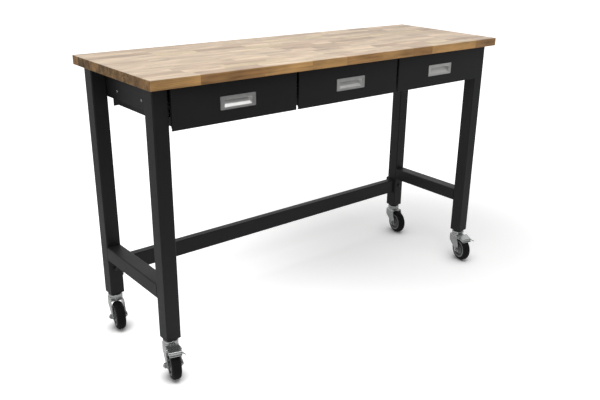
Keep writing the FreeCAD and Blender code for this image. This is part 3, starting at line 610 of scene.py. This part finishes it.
def round_outer_edges(mesh, low, high, radius):
    """Rounds the edges that lie on two outer faces of the slab."""
    nearness = radius * 0.1
    shape = bmesh.new()
    shape.from_mesh(mesh)

    def outer_faces(point):
        near = [abs(point[axis] - bound[axis]) < nearness for bound in (low, high) for axis in range(3)]
        return {index for index, touching in enumerate(near) if touching}

    edges = [edge for edge in shape.edges
             if len(outer_faces(edge.verts[0].co) & outer_faces(edge.verts[1].co)) >= 2]
    bmesh.ops.bevel(shape, geom=edges, offset=radius, segments=EDGE_STEPS, profile=0.5, affect="EDGES",
                    clamp_overlap=False, material=-1)
    shape.to_mesh(mesh)
    shape.free()


def screw_tree():
    """Pan-head screws with a cross recess, one on each start point, turned to the point's facing."""
    tree, identifiers, start, given = new_shape_tree("cross_screws", {
        "Head Radius": "Float", "Head Height": "Float", "Shank Radius": "Float", "Shank Length": "Float"})
    head_radius, head_height, shank_radius, shank_length = given
    sides, head_rings, sunk_share = 28, 8, 0.3
    crown_power, top_share = 3.0, 0.5

    # Size of each bar of the cross, as shares of the head's radius and height
    recess_bars = ((1.1, 0.26, 1.2), (0.26, 1.1, 1.26))

    def lifted(geometry, height):
        return tree.add("GeometryNodeTransform", None, {
            "Geometry": geometry, "Translation": joined(tree, 0.0, 0.0, height)})

    def barrel(radius, depth, rings=1):
        return tree.add("GeometryNodeMeshCylinder", None, {
            "Vertices": sides, "Side Segments": rings, "Radius": radius, "Depth": depth})

    # The head is a barrel drawn in to a crown, with a cross sunk in its top
    head = lifted(barrel(head_radius, head_height, head_rings), head_height * 0.5)
    x, y, z = parts(tree, tree.add("GeometryNodeInputPosition"))
    drawn_in = (z / head_height) ** crown_power * (1.0 - top_share ** crown_power)
    crown = (1.0 - drawn_in) ** (1.0 / crown_power)
    head = tree.add("GeometryNodeSetPosition", None, {
        "Geometry": head, "Position": joined(tree, x * crown, y * crown, z)})
    bars = []
    for wide, narrow, deep in recess_bars:
        size = joined(tree, head_radius * wide, head_radius * narrow, head_height * deep)
        bars.append(lifted(tree.add("GeometryNodeMeshCube", None, {"Size": size}), head_height))
    head = tree.add("GeometryNodeMeshBoolean", {"operation": "DIFFERENCE"}, {"Mesh 1": head, "Mesh 2": bars})

    # The shank starts inside the head, so that the two join as one closed form
    sunk = head_height * sunk_share
    shank = lifted(barrel(shank_radius, shank_length + sunk), (sunk - shank_length) * 0.5)
    screw = tree.add("GeometryNodeMeshBoolean", {"operation": "UNION"}, {"Mesh 2": [head, shank]})
    screw = tree.add("GeometryNodeMergeByDistance", None, {"Geometry": screw, "Distance": SAME_POINT})
    facing = tree.add("GeometryNodeInputNamedAttribute", {"data_type": "FLOAT_VECTOR"}, {"Name": "facing"})
    turn = tree.add("FunctionNodeAlignRotationToVector", {"axis": "Z"}, {"Vector": facing})
    points = tree.add("GeometryNodeMeshToPoints", None, {"Mesh": start})
    placed = tree.add("GeometryNodeInstanceOnPoints", None, {
        "Points": points, "Instance": screw, "Rotation": turn})
    close_shape_tree(tree, placed)
    return tree, identifiers


def loose_parts(name):
    """The boxes of the separate solids in a node's mesh."""
    shape = bmesh.new()
    shape.from_mesh(nodes[name].data)
    bmesh.ops.remove_doubles(shape, verts=shape.verts, dist=SAME_POINT)
    waiting = set(shape.verts)
    boxes = []
    while waiting:
        group = [waiting.pop()]
        for vertex in group:
            for edge in vertex.link_edges:
                other = edge.other_vert(vertex)
                if other in waiting:
                    waiting.remove(other)
                    group.append(other)
        points = [vertex.co for vertex in group]
        boxes.append(tuple(Vector([pick(point[axis] for point in points) for axis in range(3)])
                           for pick in (min, max)))
    shape.free()
    return sorted(boxes, key=lambda box: tuple(round(part, 4) for part in box[0]))


def screw_points(name, places):
    mesh = bpy.data.meshes.new(name)
    mesh.from_pydata([place for place, facing in places], [], [])
    facings = mesh.attributes.new("facing", "FLOAT_VECTOR", "POINT")
    for item, (place, facing) in zip(facings.data, places):
        item.vector = facing
    return mesh


# Settings

def setting(kind, **limits):
    """A maker of settings of one kind, each with its name, description and default."""
    def make(name, description, default, **own):
        return kind(name=name, description=description, default=default, **{**limits, **own})
    return make


colour_setting = setting(FloatVectorProperty, subtype="COLOR")
place_setting = setting(FloatVectorProperty, subtype="TRANSLATION")
length_setting = setting(FloatProperty, unit="LENGTH")
share_setting = setting(FloatProperty, min=0.0, max=1.0, subtype="FACTOR")
power_setting = setting(FloatProperty, min=0.0, unit="POWER")
glow_setting = setting(FloatProperty, min=0.0)
angle_setting = setting(FloatProperty, subtype="ANGLE")
pixel_setting = setting(FloatProperty, subtype="PIXEL")
count_setting = setting(IntProperty)


class WorktopSettings(PropertyGroup):
    strip_count: count_setting("Strips", "Strips of staves across the worktop", 12, min=1)
    stave_count: count_setting("Staves", "Staves in each strip", 9, min=2)
    joint_spread: share_setting("Joint spread", "How unevenly the joints lie along a strip", 0.75)
    seed: count_setting("Seed", "Number that fixes the joints and tones", 11)
    length: length_setting("Length", "Length of the worktop", top_high.x - top_low.x)
    depth: length_setting("Depth", "Depth of the worktop", top_high.y - top_low.y)
    thickness: length_setting("Thickness", "Thickness of the worktop", top_high.z - top_low.z)
    top_height: length_setting("Height", "Height of the top face", top_high.z)
    edge_radius: length_setting("Edge radius", "Rounding of the outer edges", 0.002)
    ring_spacing: length_setting("Ring spacing", "Width of a common growth ring", 0.0034)
    knot_share: share_setting("Knots", "Share of the places that could hold a knot and do", 0.035)
    end_darkening: share_setting("End grain", "How much darker the end grain takes the oil", 0.42)
    pale_tone: colour_setting("Pale stave", "Colour of the palest staves", (0.62, 0.48, 0.343))
    tan_tone: colour_setting("Tan stave", "Colour of the middle staves", (0.55, 0.41, 0.287))
    brown_tone: colour_setting("Brown stave", "Colour of the darkest staves", (0.445, 0.312, 0.212))
    yellow_tone: colour_setting("Yellow stave", "Colour of the yellow staves", (0.60, 0.47, 0.29))
    # The edge colours are painted shade: darker, more saturated copies of the top's wood
    shaded_edge_tone: colour_setting("Edge", "Colour of the edges", (0.49, 0.275, 0.10))
    shaded_edge_dark_tone: colour_setting("Dark edge", "Colour of the darkest edges", (0.39, 0.198, 0.072))


class PaintSettings(PropertyGroup):
    colour: colour_setting("Paint", "Colour of the powder coat", (0.0128, 0.0128, 0.0137))
    roughness: share_setting("Roughness", "How matt the powder coat is", 0.5)
    specular: share_setting("Sheen", "How strongly the powder coat reflects", 0.25)
    peel: share_setting("Orange peel", "Depth of the powder coat's texture", 0.5)
    plastic_colour: colour_setting("Plastic", "Colour of the plugs and brake shoes", (0.011, 0.011, 0.012))
    oxide_colour: colour_setting("Black oxide", "Colour of the frame's bolts", (0.03, 0.03, 0.032))
    bloom_colour: colour_setting("Oxide bloom", "Colour of the bloom on the bolts", (0.055, 0.044, 0.036))


class MetalSettings(PropertyGroup):
    zinc_colour: colour_setting("Zinc", "Colour of the zinc plate", (0.44, 0.452, 0.445))
    zinc_tint: colour_setting("Zinc bloom", "Colour of the plate's cloudy bloom", (0.385, 0.397, 0.39))
    zinc_roughness: share_setting("Zinc roughness", "How dull the zinc plate is", 0.25)
    nickel_colour: colour_setting("Nickel", "Colour of the pulls", (0.62, 0.62, 0.605))
    nickel_tint: colour_setting("Nickel bloom", "Colour of the pulls' cloudy bloom", (0.57, 0.57, 0.555))
    nickel_roughness: share_setting("Nickel roughness", "How satin the pulls are", 0.34)
    screw_head_radius: length_setting("Screw head", "Radius of a slide screw's head", 0.0045)
    screw_head_height: length_setting("Screw head height", "Height of a slide screw's head", 0.0024)
    screw_shank_radius: length_setting("Screw shank", "Radius of a screw's shank", 0.0025)
    top_screw_head_radius: length_setting("Worktop screw head", "Radius of a worktop screw's head", 0.005)
    top_screw_head_height: length_setting("Worktop screw height", "Height of a worktop screw's head", 0.0025)


class WheelSettings(PropertyGroup):
    rubber_colour: colour_setting("Rubber", "Colour of the tyres", (0.005, 0.005, 0.0054))
    dust_colour: colour_setting("Floor dust", "Colour of the dust on the treads", (0.014, 0.0135, 0.013))
    hub_colour: colour_setting("Hub", "Colour of the wheel hubs", (0.135, 0.136, 0.138))


class StageSettings(PropertyGroup):
    floor_colour: colour_setting("Floor", "Colour of the floor", (0.9, 0.9, 0.9))
    near_glow: glow_setting("Near glow", "Light that the floor adds near the bench", 0.35)
    far_glow: glow_setting("Far glow", "Light that the floor adds far from the bench", 0.93)
    mirrored_glow: share_setting("Mirrored glow", "Share of that light that metal shows", 0.22)
    shade_middle: place_setting("Shade middle", "Where the floor adds least light", (0.72, 0.0, 0.0))
    near_reach: length_setting("Near reach", "Where the floor starts to brighten", 0.3)
    far_reach: length_setting("Far reach", "Where the floor is brightest", 1.5)
    contact_reach: length_setting("Contact reach", "How near a wheel the floor keeps its dark shadow", 0.12)
    contact_dark: share_setting("Contact dark", "Open air at which the floor adds no light", 0.42, max=0.9)
    contact_light: share_setting("Contact light", "Open air at which the floor adds all its light", 0.98)
    room_light: glow_setting("Room light", "Even light from all round", 0.42)
    over_light: power_setting("Overhead light", "Power of the soft light above", 28.5)
    left_light: power_setting("Left light", "Power of the soft light at the left", 8.5)
    front_light: power_setting("Front light", "Power of the soft light in front", 12.5)
    card_dark: colour_setting("Dark end", "Colour of the cards' dark ends", (0.09, 0.09, 0.095))
    card_lit: colour_setting("Lit end", "Colour of the cards' lit ends", (0.68, 0.68, 0.685))
    eye: place_setting("Camera place", "Where the camera stands", (-1.650474, -1.956484, 1.342766))
    yaw: angle_setting("Yaw", "Heading of the camera from +Y", 0.715)
    pitch: angle_setting("Pitch", "How far the camera looks down", 0.369)
    roll: angle_setting("Roll", "Turn of the picture", 0.022)
    focal_pixels: pixel_setting("Focal length", "Focal length in pixels", 711.28)
    centre_x: pixel_setting("Centre across", "Pixel column of the lens axis", 317.561)
    centre_y: pixel_setting("Centre down", "Pixel row of the lens axis", 205.522)


# Operators

class WORKBENCH_OT_worktop(Operator):
    """Lay the worktop's staves, round its edges and oil it"""
    bl_idname = "workbench.worktop"
    bl_label = "Worktop"

    def execute(self, context):
        settings = context.scene.workbench_worktop
        start = bpy.data.meshes.new("worktop_start")
        worktop = grow_piece("worktop_staves", start, wood_finish(settings), *stave_tree(), {
            "Length": settings.length, "Depth": settings.depth, "Thickness": settings.thickness,
            "Middle": tuple((top_low + top_high) / 2), "Strips": settings.strip_count,
            "Staves": settings.stave_count, "Spread": settings.joint_spread, "Seed": settings.seed})
        round_outer_edges(worktop.data, top_low, top_high, settings.edge_radius)
        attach(worktop, "frame")
        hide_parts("worktop")
        return {"FINISHED"}


class WORKBENCH_OT_frame(Operator):
    """Paint the legs, bars, aprons and dividers, and finish the bolts and leg plugs"""
    bl_idname = "workbench.frame"
    bl_label = "Frame"

    def execute(self, context):
        painted = [place + "_leg" for place in CASTERS] + ["stretcher", "rear_apron"]
        for side in SIDES:
            painted += [side + "_crossbar", side + "_end_apron", side + "_divider"]
        dress(painted, black_paint(context))
        dress(["stretcher_bolts"], oxide_finish(context.scene.workbench_paint))
        dress(["leg_plugs"], black_plastic(context))
        return {"FINISHED"}


class WORKBENCH_OT_drawers(Operator):
    """Paint the drawers, and plate their slides, rivets and screws"""
    bl_idname = "workbench.drawers"
    bl_label = "Drawers"

    def execute(self, context):
        painted, plated = [], ["outer_slides", "divider_rivets"]
        for drawer in DRAWERS:
            painted += [drawer + "_front", drawer + "_box"]
            plated += [drawer + "_fasteners", drawer + "_inner_slides", drawer + "_middle_slides"]
        dress(painted, black_paint(context))
        dress(plated, zinc_plate(context))
        return {"FINISHED"}


class WORKBENCH_OT_pulls(Operator):
    """Brush and plate the recessed pulls"""
    bl_idname = "workbench.pulls"
    bl_label = "Pulls"

    def execute(self, context):
        settings, brushed_scales = context.scene.workbench_metal, (40.0, 900.0, 2200.0)
        finish = plate_finish("satin_nickel_finish", settings.nickel_colour, settings.nickel_tint,
                              settings.nickel_roughness, brushed_scales)
        dress([drawer + "_pull" for drawer in DRAWERS], finish)
        return {"FINISHED"}


class WORKBENCH_OT_screws(Operator):
    """Set the screws that hold the slides and the worktop"""
    bl_idname = "workbench.screws"
    bl_label = "Screws"

    def execute(self, context):
        settings = context.scene.workbench_metal
        shape = screw_tree()
        heads = {"slide_screws": (settings.screw_head_radius, settings.screw_head_height),
                 "worktop_screws": (settings.top_screw_head_radius, settings.top_screw_head_height)}
        for name, (head_radius, head_height) in heads.items():
            places, shank_length = self.screw_places(name, head_height)
            start = screw_points(name + "_points", places)
            screws = grow_piece(name + "_set", start, zinc_plate(context), *shape, {
                "Head Radius": head_radius, "Head Height": head_height,
                "Shank Radius": settings.screw_shank_radius, "Shank Length": shank_length})
            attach(screws, "frame")
            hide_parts(name)
        return {"FINISHED"}

    def screw_places(self, name, head_height):
        """Where each screw's head sits and which way it faces, and the length of the shanks."""
        places = []
        for low, high in loose_parts(name):
            middle = (low + high) / 2
            reach = high - low
            upright = abs(reach.x - reach.y) < abs(reach.z - reach.y)
            if upright:
                facing = Vector((0.0, 0.0, -1.0))
                place = Vector((middle.x, middle.y, low.z + head_height))
                shank_length = reach.z - head_height
            else:
                facing = Vector((math.copysign(1.0, middle.x), 0.0, 0.0))
                place = Vector((middle.x + facing.x * (reach.x / 2 - head_height), middle.y, middle.z))
                shank_length = reach.x - head_height
            places.append((place, facing))
        return places, shank_length


class WORKBENCH_OT_casters(Operator):
    """Plate the caster stems, forks and axles"""
    bl_idname = "workbench.casters"
    bl_label = "Casters"

    def execute(self, context):
        plated = ["caster_stems"]
        for place in CASTERS:
            plated += [place + "_caster_fork", place + "_caster_axle"]
        dress(plated, zinc_plate(context))
        return {"FINISHED"}


class WORKBENCH_OT_brakes(Operator):
    """Plate the brake pedals and their rivets, and finish the moulded shoes"""
    bl_idname = "workbench.brakes"
    bl_label = "Brakes"

    def execute(self, context):
        for place in BRAKED:
            dress([place + "_brake_pedal", place + "_pedal_rivets"], zinc_plate(context))
            dress([place + "_brake_shoe"], black_plastic(context))
        return {"FINISHED"}


class WORKBENCH_OT_wheels(Operator):
    """Finish the wheel hubs and tyres round their own axles"""
    bl_idname = "workbench.wheels"
    bl_label = "Wheels"

    def execute(self, context):
        settings = context.scene.workbench_wheel
        axles = {joint["name"]: joint["axis"] for joint in frame["joints"]}
        for place in CASTERS:
            low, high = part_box(place + "_tyre")
            centre = tuple((low + high) / 2)
            axle = tuple(Vector(axles[place + "_wheel_spin"]).normalized())
            dress([place + "_wheel_hub"], hub_finish(place, centre, axle, settings))
            dress([place + "_tyre"], rubber_finish(place, centre, axle, settings))
        return {"FINISHED"}


class WORKBENCH_OT_stage(Operator):
    """Set up the floor, the room, the soft lights, the cards and the camera"""
    bl_idname = "workbench.stage"
    bl_label = "Stage"

    def execute(self, context):
        settings = context.scene.workbench_stage
        self.make_floor(settings)
        self.make_room(context, settings)
        for name, (size, place, target) in LAMPS.items():
            self.make_light(name, getattr(settings, name), size, place, target)
        for name, (dark_top, lit_top) in CARDS.items():
            self.make_card(name, settings, dark_top, lit_top)
        self.make_camera(context, settings)
        context.scene.view_settings.view_transform = "Standard"
        return {"FINISHED"}

    def seen_rays(self, tree, mirrored):
        """1 for rays that see, a share for those that mirror or look through, 0 for all other rays."""
        path = tree.add("ShaderNodeLightPath")
        seen = Value(tree, path.outputs["Is Camera Ray"])
        for label in ("Is Glossy Ray", "Is Transmission Ray"):
            seen = seen.math("MAXIMUM", Value(tree, path.outputs[label]) * mirrored)
        return seen

    def make_sheet(self, name, corners):
        """A flat sheet with a new finish; gives the sheet, the finish's tree and its point."""
        mesh = bpy.data.meshes.new(name)
        mesh.from_pydata(corners, [], [(0, 1, 2, 3)])
        finish, tree, point = new_finish(name + "_finish")
        mesh.materials.append(finish)
        return new_piece(name, mesh), tree, point

    def make_floor(self, settings):
        """A pale floor that adds its own light far from the bench, less near it as a painted shadow, and none
        where a wheel stands, as painted contact shadows.
        """
        cloud_scale, least_tone, tone_spread, air_samples = 0.6, 0.985, 0.03, 24
        corners = [(x * FLOOR_REACH, y * FLOOR_REACH, 0.0) for x, y in ((-1, -1), (1, -1), (1, 1), (-1, 1))]
        floor, tree, point = self.make_sheet("floor", corners)
        tone = least_tone + noise(tree, point, cloud_scale, 3.0) * tone_spread
        colour = shaded(tree, opaque(settings.floor_colour), tone)
        ground = tree.add("ShaderNodeBsdfDiffuse", None, {"Color": colour})
        # Less glow round the shade middle is a painted shadow of the bench, and less glow where open air is
        # short round a wheel is a painted contact shadow
        reach = distance(tree, point, settings.shade_middle)
        glow = ease(tree, reach, settings.near_reach, settings.far_reach,
                    settings.near_glow, settings.far_glow)
        open_air = tree.value("ShaderNodeAmbientOcclusion", {"samples": air_samples}, {
            "Distance": settings.contact_reach}, "AO")
        glow = glow * ease(tree, open_air, settings.contact_dark, settings.contact_light)
        glow = self.seen_rays(tree, settings.mirrored_glow) * glow
        light = tree.add("ShaderNodeEmission", None, {"Strength": glow})
        both = tree.add("ShaderNodeAddShader", None, {0: ground, 1: light})
        tree.add("ShaderNodeOutputMaterial", None, {"Surface": both})

    def make_card(self, name, settings, dark_top, lit_top):
        """A glowing card on the floor that only shiny surfaces show, a painted reflection, dark at one end as
        a studio's far end is.
        """
        fold_scale, least_tone, tone_spread = 1.5, 0.9, 0.2
        dark_foot, lit_foot = ((*corner[:2], 0.0) for corner in (dark_top, lit_top))
        card, tree, point = self.make_sheet(name, [dark_foot, lit_foot, lit_top, dark_top])
        flat_point = vector_maths(tree, "MULTIPLY", point, (1.0, 1.0, 0.0))["Vector"]
        reach = distance(tree, flat_point, dark_foot)
        lit = ease(tree, reach, 0.0, (Vector(lit_foot) - Vector(dark_foot)).length)
        colour = blend(tree, lit, opaque(settings.card_dark), opaque(settings.card_lit))
        tone = least_tone + noise(tree, point, fold_scale, 2.0) * tone_spread
        # The card glows only to paint reflections in shiny surfaces
        painted_reflection_glow = tree.add("ShaderNodeEmission", None, {"Color": shaded(tree, colour, tone)})
        tree.add("ShaderNodeOutputMaterial", None, {"Surface": painted_reflection_glow})
        card.visible_camera = card.visible_diffuse = card.visible_shadow = False

    def make_room(self, context, settings):
        room = bpy.data.worlds.new("room")
        room.use_nodes = True
        room.node_tree.nodes.clear()
        tree = Tree(room.node_tree)
        seen = self.seen_rays(tree, 1.0)
        strength = seen + (1.0 - seen) * settings.room_light
        light = tree.add("ShaderNodeBackground", None, {"Color": (1.0, 1.0, 1.0, 1.0), "Strength": strength})
        tree.add("ShaderNodeOutputWorld", None, {"Surface": light})
        context.scene.world = room

    def make_light(self, name, power, size, place, target):
        light = bpy.data.lights.new(name, "AREA")
        light.shape = "RECTANGLE"
        light.size, light.size_y = size
        light.energy = power
        lamp = new_piece(name, light)
        lamp.location = place
        lamp.rotation_euler = (Vector(target) - Vector(place)).to_track_quat("-Z", "Y").to_euler()
        lamp.visible_camera = False

    def make_camera(self, context, settings):
        yaw, pitch, roll = settings.yaw, settings.pitch, settings.roll
        forward = Vector((math.sin(yaw) * math.cos(pitch), math.cos(yaw) * math.cos(pitch), -math.sin(pitch)))
        level = Vector((math.cos(yaw), -math.sin(yaw), 0.0))
        upright = level.cross(forward)
        right = math.cos(roll) * level + math.sin(roll) * upright
        up = math.cos(roll) * upright - math.sin(roll) * level
        lens = bpy.data.cameras.new("camera")
        lens.sensor_width = SENSOR_WIDTH
        lens.lens = settings.focal_pixels * SENSOR_WIDTH / PICTURE_WIDTH
        lens.shift_x = (PICTURE_WIDTH / 2 - settings.centre_x) / PICTURE_WIDTH
        lens.shift_y = (settings.centre_y - PICTURE_HEIGHT / 2) / PICTURE_WIDTH
        camera = new_piece("camera", lens)
        turned = Matrix((right, up, -forward)).transposed().to_4x4()
        turned.translation = Vector(settings.eye)
        camera.matrix_world = turned
        context.scene.camera = camera


class WORKBENCH_PT_panel(Panel):
    """The workbench's pieces and their settings"""
    bl_idname = "WORKBENCH_PT_panel"
    bl_label = "Mobile workbench"
    bl_space_type = "VIEW_3D"
    bl_region_type = "UI"
    bl_category = "Workbench"

    def draw(self, context):
        for operator in OPERATORS:
            self.layout.operator(operator.bl_idname)
        for name, group in SETTINGS.items():
            column = self.layout.column(heading=name)
            for label in group.__annotations__:
                column.prop(getattr(context.scene, name), label)


SETTINGS = {
    "workbench_worktop": WorktopSettings,
    "workbench_paint": PaintSettings,
    "workbench_metal": MetalSettings,
    "workbench_wheel": WheelSettings,
    "workbench_stage": StageSettings,
}
OPERATORS = (WORKBENCH_OT_worktop, WORKBENCH_OT_frame, WORKBENCH_OT_drawers, WORKBENCH_OT_pulls,
             WORKBENCH_OT_screws, WORKBENCH_OT_casters, WORKBENCH_OT_brakes, WORKBENCH_OT_wheels,
             WORKBENCH_OT_stage)


def register():
    for group in SETTINGS.values():
        bpy.utils.register_class(group)
    for name, group in SETTINGS.items():
        setattr(bpy.types.Scene, name, PointerProperty(type=group))
    for operator in OPERATORS:
        bpy.utils.register_class(operator)
    bpy.utils.register_class(WORKBENCH_PT_panel)


def unregister():
    bpy.utils.unregister_class(WORKBENCH_PT_panel)
    for operator in reversed(OPERATORS):
        bpy.utils.unregister_class(operator)
    for name in SETTINGS:
        delattr(bpy.types.Scene, name)
    for group in reversed(list(SETTINGS.values())):
        bpy.utils.unregister_class(group)


def main():
    register()
    bpy.ops.workbench.worktop()
    bpy.ops.workbench.frame()
    bpy.ops.workbench.drawers()
    bpy.ops.workbench.pulls()
    bpy.ops.workbench.screws()
    bpy.ops.workbench.casters()
    bpy.ops.workbench.brakes()
    bpy.ops.workbench.wheels()
    bpy.ops.workbench.stage()


if __name__ == "__main__":
    main()
